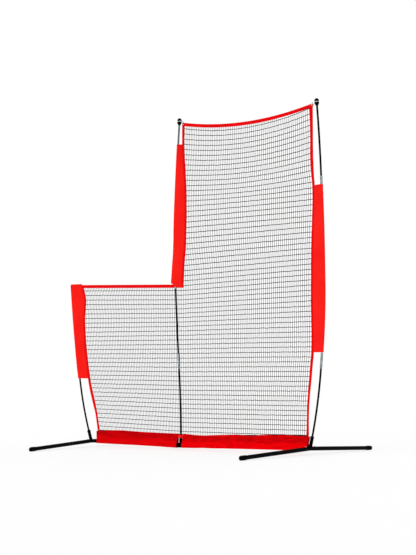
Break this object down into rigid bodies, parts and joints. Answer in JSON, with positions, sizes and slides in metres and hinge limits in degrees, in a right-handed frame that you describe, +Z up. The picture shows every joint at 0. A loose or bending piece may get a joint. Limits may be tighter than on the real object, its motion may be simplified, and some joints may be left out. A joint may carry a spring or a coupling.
{
  "type": "pitching screen",
  "caption": "Portable L-shaped pitching screen: flexible poles in a jointed black steel base stretch a red-bordered black net with a throwing window.",
  "frame": {"origin": "on the ground, under the middle of the whole screen's bounding box", "axes": "+X along the crossbar towards the tall panel's outer pole, -Y towards the batter (the side the picture shows), +Z up"},
  "size_m": [1.969, 1.3628, 2.1314],
  "materials": {
    "painted_steel": "satin black powder coat",
    "cap_rubber": "matt black moulded rubber",
    "collar_plastic": "matt black moulded plastic",
    "pole_fibreglass": "smooth black fibreglass",
    "ferrule_metal": "drawn metal tube, lightly brushed",
    "knob_plastic": "satin black moulded plastic",
    "loop_cord": "light grey braided elastic cord",
    "button_steel": "polished plated steel",
    "spring_steel": "bent spring strip",
    "sleeve_cloth": "bright red woven polyester",
    "band_cloth": "red woven polyester, softly creased",
    "border_tape": "red woven binding tape",
    "netting": "black knotless polyester cord"
  },
  "bodies": {
    "screen": {"hub_left": "painted_steel", "hub_right": "painted_steel", "arm_front_left": "painted_steel", "arm_rear_left": "painted_steel", "arm_front_right": "painted_steel", "arm_rear_right": "painted_steel", "cap_front_left": "cap_rubber", "cap_rear_left": "cap_rubber", "cap_front_right": "cap_rubber", "cap_rear_right": "cap_rubber", "crossbar_left": "painted_steel", "crossbar_right": "painted_steel", "middle_tee": "painted_steel", "socket_collars": "collar_plastic", "pole_left_base": "pole_fibreglass", "pole_left_tip": "pole_fibreglass", "pole_middle_base": "pole_fibreglass", "pole_middle_second": "pole_fibreglass", "pole_middle_third": "pole_fibreglass", "pole_middle_tip": "pole_fibreglass", "pole_right_base": "pole_fibreglass", "pole_right_second": "pole_fibreglass", "pole_right_third": "pole_fibreglass", "pole_right_tip": "pole_fibreglass", "ferrules": "ferrule_metal", "tip_cap_left": "collar_plastic", "knob_middle": "knob_plastic", "knob_right": "knob_plastic", "corner_loop_middle": "loop_cord", "corner_loop_right": "loop_cord", "spring_front_left": "spring_steel", "spring_rear_left": "spring_steel", "spring_front_right": "spring_steel", "spring_rear_right": "spring_steel", "spring_stub_left": "spring_steel", "spring_stub_right": "spring_steel", "spring_tee_left": "spring_steel", "spring_tee_right": "spring_steel", "sleeve_left": "sleeve_cloth", "sleeve_middle": "sleeve_cloth", "sleeve_right": "sleeve_cloth", "band_left": "band_cloth", "band_right": "band_cloth", "border_top_tall": "border_tape", "border_top_low": "border_tape", "border_left": "border_tape", "border_middle": "border_tape", "border_right": "border_tape", "middle_strap": "band_cloth", "net_tall": "netting", "net_low": "netting"},
    "button_front_left": {"button_front_left": "button_steel"},
    "button_rear_left": {"button_rear_left": "button_steel"},
    "button_stub_left": {"button_stub_left": "button_steel"},
    "button_tee_left": {"button_tee_left": "button_steel"},
    "button_front_right": {"button_front_right": "button_steel"},
    "button_rear_right": {"button_rear_right": "button_steel"},
    "button_stub_right": {"button_stub_right": "button_steel"},
    "button_tee_right": {"button_tee_right": "button_steel"}
  },
  "joints": [
    {"name": "button_front_left_press", "type": "slide", "parent": "screen", "child": "button_front_left", "axis": [-0.0035, 0.0368, -0.9993], "range_m": [0, 0.0046], "stiffness_N_per_m": 2000, "springref_m": -0.002, "deforming": ["spring_front_left"]},
    {"name": "button_rear_left_press", "type": "slide", "parent": "screen", "child": "button_rear_left", "axis": [0.0035, -0.0368, -0.9993], "range_m": [0, 0.0046], "stiffness_N_per_m": 2000, "springref_m": -0.002, "deforming": ["spring_rear_left"]},
    {"name": "button_stub_left_press", "type": "slide", "parent": "screen", "child": "button_stub_left", "axis": [-0.0122, 0, -0.9999], "range_m": [0, 0.0046], "stiffness_N_per_m": 2000, "springref_m": -0.002, "deforming": ["spring_stub_left"]},
    {"name": "button_tee_left_press", "type": "slide", "parent": "screen", "child": "button_tee_left", "axis": [-0.0122, 0, -0.9999], "range_m": [0, 0.005], "stiffness_N_per_m": 2000, "springref_m": -0.002, "deforming": ["spring_tee_left"]},
    {"name": "button_front_right_press", "type": "slide", "parent": "screen", "child": "button_front_right", "axis": [0.0035, 0.0368, -0.9993], "range_m": [0, 0.0046], "stiffness_N_per_m": 2000, "springref_m": -0.002, "deforming": ["spring_front_right"]},
    {"name": "button_rear_right_press", "type": "slide", "parent": "screen", "child": "button_rear_right", "axis": [-0.0035, -0.0368, -0.9993], "range_m": [0, 0.0046], "stiffness_N_per_m": 2000, "springref_m": -0.002, "deforming": ["spring_rear_right"]},
    {"name": "button_stub_right_press", "type": "slide", "parent": "screen", "child": "button_stub_right", "axis": [0.0095, 0, -1], "range_m": [0, 0.0046], "stiffness_N_per_m": 2000, "springref_m": -0.002, "deforming": ["spring_stub_right"]},
    {"name": "button_tee_right_press", "type": "slide", "parent": "screen", "child": "button_tee_right", "axis": [0.0095, 0, -1], "range_m": [0, 0.005], "stiffness_N_per_m": 2000, "springref_m": -0.002, "deforming": ["spring_tee_right"]}
  ]
}
